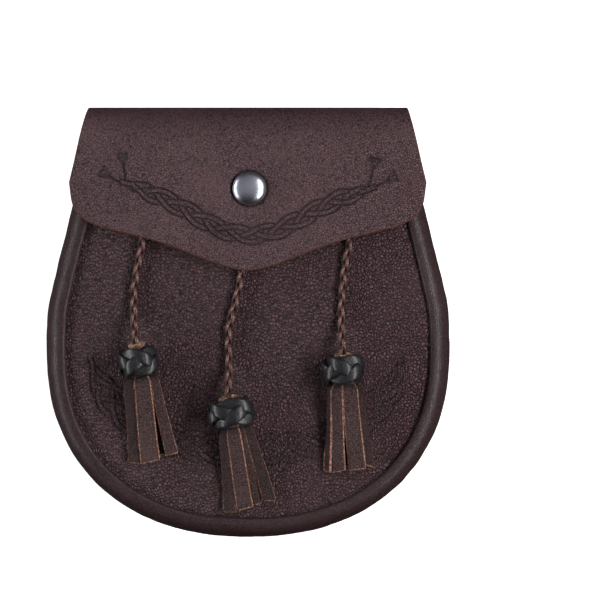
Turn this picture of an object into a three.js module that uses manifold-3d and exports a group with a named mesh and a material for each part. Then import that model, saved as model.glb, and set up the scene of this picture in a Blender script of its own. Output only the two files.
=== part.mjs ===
import * as THREE from 'three';
import { mergeVertices } from 'three/addons/utils/BufferGeometryUtils.js';
import Module from 'manifold-3d';

// A leather sporran pouch lying on its back, in millimetres. +X is to the right of its front,
// +Y runs up to the fold of the flap and +Z comes out of the front. The origin is under its middle.

const wasm = await Module();
wasm.setup();

// Outline of the body, seen from the front.
const bodyHalfWidth = 97;
const shoulderHeight = 6.5; // where the straight, leaning sides start
const shoulderRounding = 7.5;
const sideLean = 0.256;
const bowlHeight = -12.2; // where the sides turn into the rounded bottom
const bowlDepth = 90.8;
const bowlPower = 2.25;

// Gusset: a strip turned in to a rolled rim at the front and at the back.
const gussetDepth = 33;
const gussetSwell = 8.3;
const gussetPower = 2.4;
const gussetThickness = 2;
const gussetTop = 88;
const rimHook = 4.2; // how deep the turned-in edges reach
const rimInset = 9.9;
const seamGap = 0.3;

// Front and back panels.
const panelInset = rimInset + seamGap;
const frontThickness = 1.8;
const frontEdge = 30.6; // height of its outer face along the seam
const frontDome = 5;
const frontTop = 84;
const backThickness = 2;
const backEdge = 2.6;
const backPress = 4.8; // how far the middle is pressed in over the belt loops
const backTop = 83;

// Flap: sewn to the back, folded over the mouth and closed by the snap.
const flapThickness = 2.2;
const flapTailEnd = 74;
const flapTailHalfWidth = 65;
const foldHeight = 82;
const foldReach = 21;
const foldHalfDepth = 21.3;
const flapCorner = 66.5; // height of its widest point
const flapHalfWidth = 85.4;
const flapLean = 0.242;
const flapFall = 7.5; // how far its sides hang below its middle
const flapTipFall = 0.8;

// Half of the flap's lower edge, from the tip out to the corner.
const flapEdge = [
  { out: 0, up: 24.6 },
  { out: 10.6, up: 26.5 },
  { out: 22.6, up: 30.8 },
  { out: 34.6, up: 35.5 },
  { out: 47, up: 39.5 },
  { out: 59, up: 42.5 },
  { out: 71.5, up: 45.8 },
  { out: 78.7, up: 49.4 },
  { out: 83.5, up: 55.6 },
  { out: flapHalfWidth, up: flapCorner },
];

// Snap fastener.
const snapX = 0.9;
const snapY = 63.6;
const capRadius = 8;
const capHeight = 3.6;
const shankRadius = 2.3;
const studRadius = 1.8;

// Cords, knots and tassels.
const cordDiameter = 3.4;
const slotLength = 8.6;
const slotWidth = 4.3;
const slotStart = 5.2; // of its middle, past where the cord starts to dip
const knotRadius = 9;
const knotBore = 4.6;
const knotHeight = 13;
const knotSquash = 0.86;
const knotLift = 8.2;

// Belt loops on the back.
const loopWidth = 22;
const loopSpacing = 64;
const loopThickness = 2;
const loopProfile = [
  { up: 6, height: 5.1 },
  { up: 13, height: 5.1 },
  { up: 16.5, height: 2.6 },
  { up: 20, height: 0.2 },
  { up: 44, height: 0.2 },
  { up: 47.5, height: 2.6 },
  { up: 51, height: 5.1 },
  { up: 58, height: 5.1 },
];

const bodyLeather = new THREE.MeshStandardMaterial({ color: 0x3f3032, roughness: 0.55, metalness: 0 });
const rimLeather = new THREE.MeshStandardMaterial({ color: 0x43373a, roughness: 0.4, metalness: 0 });
const flapLeather = new THREE.MeshStandardMaterial({ color: 0x534346, roughness: 0.5, metalness: 0 });
const laceLeather = new THREE.MeshStandardMaterial({ color: 0x57403f, roughness: 0.55, metalness: 0 });
const knotLeather = new THREE.MeshStandardMaterial({ color: 0x26262b, roughness: 0.3, metalness: 0 });
const polishedSteel = new THREE.MeshStandardMaterial({ color: 0xc4c6cc, roughness: 0.15, metalness: 1 });

const sporran = new THREE.Group();

function add(name, geometry, material) {
  const mesh = new THREE.Mesh(geometry, material);
  mesh.name = name;
  sporran.add(mesh);
  return mesh;
}

// A closed geometry from a flat list of triangle corners; a triangle with two corners alike is left out.
function fromCorners(corners) {
  const positions = [];
  for (let i = 0; i < corners.length; i += 3) {
    const [a, b, c] = [corners[i], corners[i + 1], corners[i + 2]];
    const shortest = Math.min(a.distanceTo(b), b.distanceTo(c), c.distanceTo(a));
    if (shortest > 1e-3) positions.push(...a.toArray(), ...b.toArray(), ...c.toArray());
  }
  const geometry = new THREE.BufferGeometry();
  geometry.setAttribute('position', new THREE.Float32BufferAttribute(positions, 3));
  geometry.computeVertexNormals();
  return geometry;
}

// A sheet between two facing grids of points, with its four cut edges.
function sheet(outer, inner) {
  const corners = [];
  const quad = (a, b, c, d) => corners.push(a, b, c, a, c, d);
  const rows = outer.length - 1;
  const columns = outer[0].length - 1;
  for (let i = 0; i < rows; i++) {
    for (let j = 0; j < columns; j++) {
      quad(outer[i][j], outer[i + 1][j], outer[i + 1][j + 1], outer[i][j + 1]);
      quad(inner[i][j], inner[i][j + 1], inner[i + 1][j + 1], inner[i + 1][j]);
    }
    quad(inner[i][0], inner[i + 1][0], outer[i + 1][0], outer[i][0]);
    quad(outer[i][columns], outer[i + 1][columns], inner[i + 1][columns], inner[i][columns]);
  }
  for (let j = 0; j < columns; j++) {
    quad(outer[0][j], outer[0][j + 1], inner[0][j + 1], inner[0][j]);
    quad(inner[rows][j], inner[rows][j + 1], outer[rows][j + 1], outer[rows][j]);
  }
  return fromCorners(corners);
}

// A solid through a list of convex loops of equally many points, closed flat at both ends.
function loft(loops) {
  const corners = [];
  const count = loops[0].length;
  for (let i = 0; i < loops.length - 1; i++) {
    for (let j = 0; j < count; j++) {
      const k = (j + 1) % count;
      corners.push(loops[i][j], loops[i + 1][k], loops[i + 1][j]);
      corners.push(loops[i][j], loops[i][k], loops[i + 1][k]);
    }
  }
  const last = loops[loops.length - 1];
  for (let j = 1; j < count - 1; j++) {
    corners.push(loops[0][0], loops[0][j + 1], loops[0][j]);
    corners.push(last[0], last[j], last[j + 1]);
  }
  return fromCorners(corners);
}

// A round solid about the Z axis from half of its section, a list of radii and heights.
function turned(profile, segments) {
  const points = profile.map(({ radius, height }) => new THREE.Vector2(radius, height));
  return new THREE.LatheGeometry(points, segments).rotateX(Math.PI / 2);
}

function toManifold(geometry) {
  const bare = geometry.clone();
  bare.deleteAttribute('normal');
  bare.deleteAttribute('uv');
  const merged = mergeVertices(bare, 1e-4);
  const vertProperties = new Float32Array(merged.attributes.position.array);
  const triVerts = new Uint32Array(merged.index.array);
  return new wasm.Manifold(new wasm.Mesh({ numProp: 3, vertProperties, triVerts }));
}

function cut(geometry, tools) {
  let solid = toManifold(geometry);
  for (const tool of tools) solid = solid.subtract(toManifold(tool));
  const { vertProperties, triVerts } = solid.getMesh();
  const result = new THREE.BufferGeometry();
  result.setAttribute('position', new THREE.BufferAttribute(vertProperties, 3));
  result.setIndex(new THREE.BufferAttribute(triVerts, 1));
  return result;
}

const { lerp, smoothstep } = THREE.MathUtils;

// Half-width of the body's outline above the rounded bottom.
function sideHalfWidth(y) {
  const rise = y - shoulderHeight;
  return bodyHalfWidth - (sideLean / 2) * (rise + Math.hypot(rise, shoulderRounding));
}

// Points spaced evenly along the outline from its right top corner round the bottom to the left one,
// moved in by inset.
function outline(top, inset, steps) {
  const right = [];
  for (let i = 0; i <= 40; i++) {
    const y = lerp(top, bowlHeight, i / 40);
    right.push(new THREE.Vector2(sideHalfWidth(y), y));
  }
  for (let i = 1; i <= 90; i++) {
    const turn = (i / 90) * (Math.PI / 2);
    const y = bowlHeight - bowlDepth * Math.sin(turn) ** (2 / bowlPower);
    right.push(new THREE.Vector2(sideHalfWidth(y) * Math.max(Math.cos(turn), 0) ** (2 / bowlPower), y));
  }
  const left = right.slice(0, -1).reverse().map(({ x, y }) => new THREE.Vector2(-x, y));
  const path = new THREE.Path().setFromPoints([...right, ...left]);
  const points = path.getSpacedPoints(steps);
  return points.map((point, i) => {
    const before = points[Math.max(i - 1, 0)];
    const after = points[Math.min(i + 1, steps)];
    const along = after.clone().sub(before).normalize();
    return { point: new THREE.Vector2(point.x + along.y * inset, point.y - along.x * inset), along };
  });
}

// 0 in the middle of a panel, 1 along its sewn edge.
function nearness(x, y) {
  const side = Math.abs(x) / (sideHalfWidth(y) - panelInset);
  const down = Math.max(bowlHeight - y, 0) / (bowlDepth - panelInset);
  return Math.min((side ** bowlPower + down ** bowlPower) ** (1 / bowlPower), 1);
}

function frontFace(x, y) {
  const nearMouth = smoothstep(y, 40, frontTop);
  return frontEdge + (frontDome - nearMouth) * (1 - nearness(x, y) ** 3);
}

function backFace(x, y) {
  const middle = 1 - smoothstep(nearness(x, y), 0.64, 0.92);
  return backEdge + backPress * middle * (1 - smoothstep(y, 62, flapTailEnd));
}

// Points over a panel: rows at the given heights, then rows down into the rounded bottom.
function panelGrid(heights, bowlRows, columns) {
  const bowl = outline(bowlHeight, panelInset, columns).map(({ point }) => point).reverse();
  const widest = bowl[columns].x;
  const seam = (y) => sideHalfWidth(y) - panelInset * Math.hypot(1, sideLean);
  const upper = heights.map((y) => bowl.map(({ x }) => new THREE.Vector2((x / widest) * seam(y), y)));
  const lower = [];
  for (let i = 0; i <= bowlRows; i++) {
    const reach = Math.sin((i / bowlRows) * (Math.PI / 2));
    lower.push(bowl.map(({ x, y }) => new THREE.Vector2(x, lerp(bowl[0].y, y, reach))));
  }
  return [...upper, ...lower];
}

const raise = (grid, height) =>
  grid.map((row) => row.map(({ x, y }) => new THREE.Vector3(x, y, height(x, y))));

// Gusset. Each station pairs a point on its outer face with one on its inner face: how far in from
// the outline, and how high.
const rimStations = [
  { outer: [-rimInset, -rimHook], inner: [-8, -rimHook] },
  { outer: [-rimInset, -1.6], inner: [-8.05, -2.4] },
  { outer: [-9.4, -0.5], inner: [-8.15, -2.1] },
];
const arcStations = [90, 68, 46, 24, 0, -24, -46, -68, -90].map((degrees) => {
  const turn = THREE.MathUtils.degToRad(degrees);
  const bulge = Math.max(Math.cos(turn), 0) ** (2 / gussetPower);
  const swing = Math.sign(turn) * Math.abs(Math.sin(turn)) ** (2 / gussetPower);
  const point = (less) => [
    -gussetSwell + (gussetSwell - less) * bulge,
    gussetDepth / 2 + (gussetDepth / 2 - less) * swing,
  ];
  return { outer: point(0), inner: point(gussetThickness) };
});
const mirrored = ([inward, height]) => [inward, -height];
const stations = [
  ...rimStations.map(({ outer, inner }) => ({
    outer: [outer[0], gussetDepth + outer[1]],
    inner: [inner[0], gussetDepth + inner[1]],
  })),
  ...arcStations,
  ...rimStations.toReversed().map(({ outer, inner }) => ({ outer: mirrored(outer), inner: mirrored(inner) })),
];
const gussetLine = outline(gussetTop, 0, 56);
const gussetFace = (side) =>
  gussetLine.map(({ point, along }) =>
    stations.map((station) => {
      const [inward, height] = station[side];
      return new THREE.Vector3(point.x - along.y * inward, point.y + along.x * inward, height);
    }),
  );
add('gusset', sheet(gussetFace('outer'), gussetFace('inner')), rimLeather);

// Tassels: where each knot lies, and the route of its cord from inside the slot in the front panel,
// under the flap, over the panel and up to the tassel's head.
const tassels = [
  {
    name: 'left',
    knot: { x: -51.7, y: -18.7, radius: knotRadius, tilt: 8.3 },
    head: 8.1,
    skirt: { top: 8.6, bottom: 11.6, length: 40 },
    slot: { x: -49.4, y: 42.5, lean: 0.12 },
    route: [
      [-48.6, 49.3, 30.4],
      [-48.7, 48.5, 32.7],
      [-48.9, 47.1, 34.5],
      [-49.1, 45, 35.8],
      [-49.4, 42.5, 36.3],
      [-50.2, 38.1, 36.4],
      [-51, 33.6, 36.3],
      [-51.9, 29.2, 36.3],
      [-52.7, 24.7, 36.3],
      [-53.5, 20.2, 36.3],
      [-54, 15.7, 36.3],
      [-54.2, 11.2, 36.2],
      [-54.2, 6.7, 36.5],
      [-54.1, 2.3, 37.6],
      [-53.8, -1.8, 39.5],
      [-53.4, -5.7, 41.5],
      [-53, -10.1, 42.7],
    ],
  },
  {
    name: 'centre',
    knot: { x: -7.8, y: -42.7, radius: 9.4, tilt: 10.6 },
    head: 6.7,
    skirt: { top: 8.8, bottom: 13, length: 38.5 },
    slot: { x: -2.4, y: 31, lean: 0.05 },
    route: [
      [-2.1, 37.9, 31.8],
      [-2.1, 37.1, 34.1],
      [-2.2, 35.6, 35.9],
      [-2.3, 33.5, 37.1],
      [-2.4, 31, 37.6],
      [-2.8, 25.3, 37.7],
      [-3.5, 19.6, 37.6],
      [-4.8, 14.1, 37.6],
      [-6.2, 8.5, 37.6],
      [-7.7, 3, 37.6],
      [-8.9, -2.5, 37.6],
      [-9.2, -8.2, 37.5],
      [-9.1, -13.9, 37.5],
      [-8.9, -19.6, 38.2],
      [-8.8, -25, 40],
      [-9, -30.1, 42.3],
      [-9.1, -35.5, 43.7],
    ],
  },
  {
    name: 'right',
    knot: { x: 45.6, y: -22.3, radius: 8.7, tilt: 3.4 },
    head: 6.7,
    skirt: { top: 8.6, bottom: 12.4, length: 40.5 },
    slot: { x: 49.3, y: 41.5, lean: 0.2 },
    route: [
      [50.7, 48.3, 30.3],
      [50.5, 47.5, 32.5],
      [50.2, 46, 34.4],
      [49.8, 44.1, 35.7],
      [49.3, 41.6, 36.3],
      [48.2, 36.9, 36.5],
      [47.2, 32.1, 36.6],
      [46.4, 27.4, 36.7],
      [45.7, 22.6, 36.7],
      [45.3, 17.7, 36.8],
      [44.9, 12.9, 36.8],
      [44.7, 8, 36.7],
      [44.6, 3.2, 36.9],
      [44.6, -1.5, 38],
      [44.7, -6, 39.8],
      [44.9, -10.3, 42],
      [45.2, -15, 43.1],
    ],
  },
];

const slots = [];
for (const { name, knot, head, skirt, slot, route } of tassels) {
  const tilt = THREE.MathUtils.degToRad(knot.tilt);
  const down = new THREE.Vector2(Math.sin(tilt), -Math.cos(tilt));
  const across = new THREE.Vector2(-down.y, down.x);
  const onPanel = (x, y, lift) => new THREE.Vector3(x, y, frontFace(x, y) + lift);
  const below = (distance, side, lift) =>
    onPanel(knot.x + down.x * distance + across.x * side, knot.y + down.y * distance + across.y * side, lift);

  const line = new THREE.CatmullRomCurve3(route.map((point) => new THREE.Vector3(...point)));
  const section = new THREE.Shape();
  for (let i = 0; i < 8; i++) {
    const turn = ((i + 0.5) / 8) * Math.PI * 2;
    const corner = [Math.cos(turn), Math.sin(turn)].map((part) => (part * cordDiameter) / 2);
    if (i === 0) section.moveTo(...corner);
    else section.lineTo(...corner);
  }
  const steps = Math.round(line.getLength() / (cordDiameter * 1.2));
  const tube = new THREE.ExtrudeGeometry(section, { steps, extrudePath: line, bevelEnabled: false });
  add(`cord_${name}`, tube, laceLeather);

  const inward = new THREE.Vector2(slot.lean, 1).normalize();
  const oblong = new THREE.Shape();
  const reach = (slotLength - slotWidth) / 2;
  oblong.absarc(0, reach, slotWidth / 2, 0, Math.PI);
  oblong.absarc(0, -reach, slotWidth / 2, Math.PI, Math.PI * 2);
  const punch = new THREE.ExtrudeGeometry(oblong, { depth: 16, curveSegments: 6, bevelEnabled: false });
  punch.rotateZ(-Math.atan(slot.lean));
  punch.translate(slot.x + inward.x * slotStart, slot.y + inward.y * slotStart, 26);
  slots.push(punch);

  // Knot: a barrel ring wound round the tassel's head, its axis turned into the plane of the panel.
  const half = knotHeight / 2;
  const ring = turned(
    [
      { radius: knotBore, height: -half },
      { radius: knot.radius - 2.4, height: -half },
      { radius: knot.radius - 0.7, height: -half + 1.6 },
      { radius: knot.radius, height: -half + 4.4 },
      { radius: knot.radius, height: half - 4.4 },
      { radius: knot.radius - 0.7, height: half - 1.6 },
      { radius: knot.radius - 2.4, height: half },
      { radius: knotBore, height: half },
      { radius: knotBore, height: -half },
    ],
    24,
  );
  ring.rotateX(-Math.PI / 2);
  ring.scale(1, 1, knotSquash);
  ring.rotateZ(tilt);
  ring.translate(knot.x, knot.y, frontFace(knot.x, knot.y) + knotLift);
  add(`knot_${name}`, ring, knotLeather);

  // Tassel: the rolled head inside the knot, then the skirt of strips spreading over the panel.
  const skirtTop = half + seamGap;
  const skirtEnd = skirtTop + skirt.length;
  const levels = [
    { distance: -head, halfWidth: 4, halfDepth: 3.3, lift: knotLift },
    { distance: skirtTop, halfWidth: 4.1, halfDepth: 3.4, lift: knotLift },
    { distance: skirtTop + 0.1, halfWidth: skirt.top - 0.8, halfDepth: 5, lift: knotLift - 0.8 },
    { distance: skirtTop + 4, halfWidth: skirt.top, halfDepth: 5.6, lift: knotLift - 1.6 },
    { distance: skirtTop + 18, halfWidth: lerp(skirt.top, skirt.bottom, 0.4), halfDepth: 4.8, lift: 5.4 },
    { distance: skirtTop + 30, halfWidth: lerp(skirt.top, skirt.bottom, 0.7), halfDepth: 4, lift: 4.5 },
    { distance: skirtEnd, halfWidth: skirt.bottom, halfDepth: 3.6, lift: 4.1 },
  ];
  const loops = levels.map(({ distance, halfWidth, halfDepth, lift }) => {
    const loop = [];
    for (let i = 0; i < 16; i++) {
      const turn = (i / 16) * Math.PI * 2;
      loop.push(below(distance, halfWidth * Math.cos(turn), lift + halfDepth * Math.sin(turn)));
    }
    return loop;
  });
  add(`tassel_${name}`, loft(loops), laceLeather);
}

// Front panel, with the three slots and the hole for the stud.
const studHole = new THREE.CylinderGeometry(studRadius + 0.4, studRadius + 0.4, 20, 20);
studHole.rotateX(Math.PI / 2).translate(snapX, snapY, frontEdge);
const frontGrid = panelGrid([frontTop, 70, 55, 40, 22, 5], 6, 28);
const frontPanel = sheet(
  raise(frontGrid, frontFace),
  raise(frontGrid, (x, y) => frontFace(x, y) - frontThickness),
);
add('front_panel', cut(frontPanel, [...slots, studHole]), bodyLeather);

// Back panel, pressed in over the belt loops.
const backGrid = panelGrid([backTop, 74, 68, 62, 45, 26, 7], 6, 28);
const backPanel = sheet(
  raise(backGrid, (x, y) => backFace(x, y) + backThickness),
  raise(backGrid, backFace),
);
add('back_panel', backPanel, bodyLeather);

// Belt loops.
for (const [name, side] of [['left', -1], ['right', 1]]) {
  const face = (less) =>
    loopProfile.map(({ up, height }) =>
      [-1, 1].map(
        (edge) => new THREE.Vector3((side * loopSpacing + edge * loopWidth) / 2, up, height + less),
      ),
    );
  add(`belt_loop_${name}`, sheet(face(0), face(loopThickness)), rimLeather);
}

// Flap. Each station is a line across it: its half-width, and its height and rise at one face.
const flapSide = new THREE.SplineCurve(flapEdge.map(({ out, up }) => new THREE.Vector2(out, up)));
const edgeHalf = flapSide.getSpacedPoints(16);
const edge = [...edgeHalf.toReversed().slice(0, -1).map(({ x, y }) => new THREE.Vector2(-x, y)), ...edgeHalf];

function flapSag(x, y) {
  const sides = flapFall * (Math.abs(x) / flapHalfWidth) ** 3 * (1 - smoothstep(y, 76, 102));
  const tip = flapTipFall * (1 - smoothstep(y, 25, 55)) * (1 - smoothstep(Math.abs(x), 15, 45));
  return sides + tip;
}

function flapFace(less) {
  const rows = [flapTailEnd, 78].map((y) =>
    edge.map(({ x }) => new THREE.Vector3((x / flapHalfWidth) * flapTailHalfWidth, y, less)),
  );
  for (const degrees of [-90, -80, -70, -52, -35, -18, 0, 18, 36, 54, 72, 90]) {
    const turn = THREE.MathUtils.degToRad(degrees);
    const y = foldHeight + (foldReach - less) * Math.cos(turn);
    const z = foldHalfDepth + (foldHalfDepth - less) * Math.sin(turn);
    const full = flapHalfWidth - flapLean * (y - flapCorner);
    const half = lerp(flapTailHalfWidth, full, smoothstep(degrees, -70, -10));
    rows.push(
      edge.map(({ x }) => {
        const out = (x / flapHalfWidth) * half;
        return new THREE.Vector3(out, y, z - (degrees > 0 ? flapSag(out, y) : 0));
      }),
    );
  }
  const front = 2 * foldHalfDepth - less;
  for (const y of [74, flapCorner]) {
    const half = flapHalfWidth - flapLean * (y - flapCorner);
    rows.push(
      edge.map(({ x }) => {
        const out = (x / flapHalfWidth) * half;
        return new THREE.Vector3(out, y, front - flapSag(out, y));
      }),
    );
  }
  for (const part of [0.3, 0.62, 0.88, 1]) {
    rows.push(
      edge.map(({ x, y }) => {
        const down = lerp(flapCorner, y, part);
        return new THREE.Vector3(x, down, front - flapSag(x, down));
      }),
    );
  }
  return rows;
}
const flapTop = 2 * foldHalfDepth - flapSag(snapX, snapY);
const shankHole = new THREE.CylinderGeometry(shankRadius + 0.4, shankRadius + 0.4, 12, 20);
shankHole.rotateX(Math.PI / 2).translate(snapX, snapY, flapTop);
add('flap', cut(sheet(flapFace(0), flapFace(flapThickness)), [shankHole]), flapLeather);

// Snap cap: the dome on the flap, its shank, and the socket below.
const flapUnder = flapTop - flapThickness;
const studSeat = frontFace(snapX, snapY);
const cap = turned(
  [
    { radius: 0, height: flapTop + capHeight },
    { radius: 2.6, height: flapTop + capHeight - 0.2 },
    { radius: 4.8, height: flapTop + capHeight - 0.75 },
    { radius: 6.5, height: flapTop + capHeight - 1.6 },
    { radius: 7.6, height: flapTop + capHeight - 2.5 },
    { radius: capRadius, height: flapTop + 0.65 },
    { radius: 7.5, height: flapTop + seamGap },
    { radius: shankRadius, height: flapTop + seamGap },
    { radius: shankRadius, height: flapUnder - seamGap },
    { radius: 6, height: flapUnder - seamGap },
    { radius: 6, height: flapUnder - 1.1 },
    { radius: 4.4, height: flapUnder - 1.5 },
    { radius: 4.2, height: flapUnder - 3 },
    { radius: 3, height: flapUnder - 3 },
    { radius: 3, height: flapUnder - 1.3 },
    { radius: 0, height: flapUnder - 1.3 },
  ].toReversed(),
  28,
);
cap.translate(snapX, snapY, 0);
add('snap_cap', cap, polishedSteel);

// Snap stud: the post that the socket grips, riveted through the front panel.
const stud = turned(
  [
    { radius: 0, height: flapUnder - 1.7 },
    { radius: 2, height: flapUnder - 1.8 },
    { radius: 2.6, height: flapUnder - 2.3 },
    { radius: 2.3, height: flapUnder - 3.1 },
    { radius: 2.3, height: studSeat + 1.2 },
    { radius: 5.2, height: studSeat + 1 },
    { radius: 5.2, height: studSeat + seamGap + 0.1 },
    { radius: studRadius, height: studSeat + seamGap + 0.1 },
    { radius: studRadius, height: studSeat - frontThickness - seamGap },
    { radius: 4.4, height: studSeat - frontThickness - seamGap - 0.1 },
    { radius: 4.4, height: studSeat - frontThickness - 1.1 },
    { radius: 0, height: studSeat - frontThickness - 1.3 },
  ].toReversed(),
  24,
);
stud.translate(snapX, snapY, 0);
add('snap_stud', stud, polishedSteel);

export default sporran;
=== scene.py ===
import math
import bpy
import numpy as np
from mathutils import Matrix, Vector, noise


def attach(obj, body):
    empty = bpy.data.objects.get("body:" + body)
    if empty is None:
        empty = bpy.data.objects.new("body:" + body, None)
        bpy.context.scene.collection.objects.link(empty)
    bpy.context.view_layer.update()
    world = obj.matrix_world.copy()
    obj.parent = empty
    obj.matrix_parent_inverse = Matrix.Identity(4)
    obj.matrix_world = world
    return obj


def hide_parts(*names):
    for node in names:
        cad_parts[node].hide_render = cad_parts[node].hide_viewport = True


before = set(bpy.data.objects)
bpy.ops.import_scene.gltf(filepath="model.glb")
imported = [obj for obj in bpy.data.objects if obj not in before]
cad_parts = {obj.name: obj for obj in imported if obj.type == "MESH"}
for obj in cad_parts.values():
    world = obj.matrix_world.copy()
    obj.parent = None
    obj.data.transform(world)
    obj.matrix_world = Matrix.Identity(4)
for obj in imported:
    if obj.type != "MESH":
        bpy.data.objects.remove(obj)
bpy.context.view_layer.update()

# Camera: high above the pouch and looking straight down on its front, with a long lens, so that
# the pouch shows with next to no foreshortening.
picture_width = 0.288
focus_level = 0.02
camera_height = 1.9
picture_centre = Vector((0.0249, 0.0107))
camera_data = bpy.data.cameras.new("camera")
camera_data.sensor_width = 36
camera_data.lens = camera_data.sensor_width * (camera_height - focus_level) / picture_width
camera = bpy.data.objects.new("camera", camera_data)
camera.location = (picture_centre.x, picture_centre.y, camera_height)
bpy.context.collection.objects.link(camera)
bpy.context.scene.camera = camera

# Cords: three lengths of braided leather lace, each from its slot in the front panel, under the
# flap and over the panel to the head of its tassel. Three strands are plaited along the route, and
# in every repeat of the plait each swings once from side to side and twice up and down.
mm = 0.001
cord_routes = {
    "left": [
        (-48.6, 49.3, 30.4), (-48.7, 48.5, 32.7), (-48.9, 47.1, 34.5), (-49.1, 45, 35.8),
        (-49.4, 42.5, 36.3), (-50.2, 38.1, 36.4), (-51, 33.6, 36.3), (-51.9, 29.2, 36.3),
        (-52.7, 24.7, 36.3), (-53.5, 20.2, 36.3), (-54, 15.7, 36.3), (-54.2, 11.2, 36.2),
        (-54.2, 6.7, 36.5), (-54.1, 2.3, 37.6), (-53.8, -1.8, 39.5), (-53.4, -5.7, 41.5),
        (-53, -10.1, 42.7),
    ],
    "centre": [
        (-2.1, 37.9, 31.8), (-2.1, 37.1, 34.1), (-2.2, 35.6, 35.9), (-2.3, 33.5, 37.1),
        (-2.4, 31, 37.6), (-2.8, 25.3, 37.7), (-3.5, 19.6, 37.6), (-4.8, 14.1, 37.6),
        (-6.2, 8.5, 37.6), (-7.7, 3, 37.6), (-8.9, -2.5, 37.6), (-9.2, -8.2, 37.5),
        (-9.1, -13.9, 37.5), (-8.9, -19.6, 38.2), (-8.8, -25, 40), (-9, -30.1, 42.3),
        (-9.1, -35.5, 43.7),
    ],
    "right": [
        (50.7, 48.3, 30.3), (50.5, 47.5, 32.5), (50.2, 46, 34.4), (49.8, 44.1, 35.7),
        (49.3, 41.6, 36.3), (48.2, 36.9, 36.5), (47.2, 32.1, 36.6), (46.4, 27.4, 36.7),
        (45.7, 22.6, 36.7), (45.3, 17.7, 36.8), (44.9, 12.9, 36.8), (44.7, 8, 36.7),
        (44.6, 3.2, 36.9), (44.6, -1.5, 38), (44.7, -6, 39.8), (44.9, -10.3, 42),
        (45.2, -15, 43.1),
    ],
}


class Number:
    """A number that a node gives out. Arithmetic on it adds Math nodes to its tree."""

    def __init__(self, graph, socket):
        self.graph = graph
        self.socket = socket

    def __add__(self, other):
        return self.graph.math("ADD", self, other)

    def __radd__(self, other):
        return self.graph.math("ADD", other, self)

    def __sub__(self, other):
        return self.graph.math("SUBTRACT", self, other)

    def __rsub__(self, other):
        return self.graph.math("SUBTRACT", other, self)

    def __mul__(self, other):
        return self.graph.math("MULTIPLY", self, other)

    def __rmul__(self, other):
        return self.graph.math("MULTIPLY", other, self)

    def __truediv__(self, other):
        return self.graph.math("DIVIDE", self, other)

    def __rtruediv__(self, other):
        return self.graph.math("DIVIDE", other, self)

    def __neg__(self):
        return self.graph.math("MULTIPLY", self, -1.0)


class Graph:
    """A node tree being written, for a material or for Geometry Nodes."""

    def __init__(self, tree):
        self.tree = tree

    def node(self, kind, settings=None, sockets=None):
        """Adds a node: its settings first, then the value or the link of each socket named."""
        made = self.tree.nodes.new(kind)
        for name, value in (settings or {}).items():
            setattr(made, name, value)
        for name, value in (sockets or {}).items():
            if isinstance(value, Number):
                value = value.socket
            if isinstance(value, bpy.types.NodeSocket):
                self.tree.links.new(value, made.inputs[name])
            else:
                made.inputs[name].default_value = value
        return made

    def math(self, operation, *values):
        made = self.node("ShaderNodeMath", {"operation": operation}, dict(enumerate(values)))
        return Number(self, made.outputs[0])

    def vector(self, operation, *values):
        made = self.node("ShaderNodeVectorMath", {"operation": operation}, dict(enumerate(values)))
        return made.outputs[0]

    def scaled(self, vector, by):
        made = self.node("ShaderNodeVectorMath", {"operation": "SCALE"}, {"Vector": vector, "Scale": by})
        return made.outputs[0]

    def mixed(self, factor, first, second):
        """The colour between two others, first at a factor of 0 and second at 1."""
        made = self.node("ShaderNodeMix", {"data_type": "RGBA"}, {0: factor, 6: first, 7: second})
        return made.outputs[2]


def geometry_tree(name, inputs):
    """An empty Geometry Nodes tree with these named inputs, and the node that gives them out."""
    tree = bpy.data.node_groups.new(name, "GeometryNodeTree")
    tree.interface.new_socket("Geometry", in_out="OUTPUT", socket_type="NodeSocketGeometry")
    tree.interface.new_socket("Geometry", in_out="INPUT", socket_type="NodeSocketGeometry")
    for label, (kind, value) in inputs.items():
        socket = tree.interface.new_socket(label, in_out="INPUT", socket_type=kind)
        if value is not None:
            socket.default_value = value
    graph = Graph(tree)
    return graph, graph.node("NodeGroupInput").outputs


def end_tree(graph, geometry, material):
    """Realizes what the tree made, gives it its material and hands it out."""
    real = graph.node("GeometryNodeRealizeInstances", {}, {"Geometry": geometry})
    dressed = graph.node(
        "GeometryNodeSetMaterial", {}, {"Geometry": real.outputs[0], "Material": material}
    )
    graph.node("NodeGroupOutput", {}, {"Geometry": dressed.outputs[0]})
    return graph.tree


def grown(name, tree, data, values):
    """The plain mesh object that a Geometry Nodes tree makes from some starting data."""
    seed = bpy.data.objects.new("seed", data)
    bpy.context.collection.objects.link(seed)
    modifier = seed.modifiers.new("nodes", "NODES")
    modifier.node_group = tree
    for item in tree.interface.items_tree:
        if item.in_out == "INPUT" and item.name in values:
            modifier[item.identifier] = values[item.name]
    depsgraph = bpy.context.evaluated_depsgraph_get()
    mesh = bpy.data.meshes.new_from_object(seed.evaluated_get(depsgraph))
    seed.modifiers.clear()
    bpy.data.objects.remove(seed)
    mesh.name = name
    piece = bpy.data.objects.new(name, mesh)
    bpy.context.collection.objects.link(piece)
    return piece


def path_curve(name, points, closed=False):
    """A straight-sided curve through points in metres."""
    curve = bpy.data.curves.new(name, "CURVE")
    curve.dimensions = "3D"
    spline = curve.splines.new("POLY")
    spline.points.add(len(points) - 1)
    for point, place in zip(spline.points, points):
        point.co = (*place, 1)
    spline.use_cyclic_u = closed
    return curve


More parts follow.
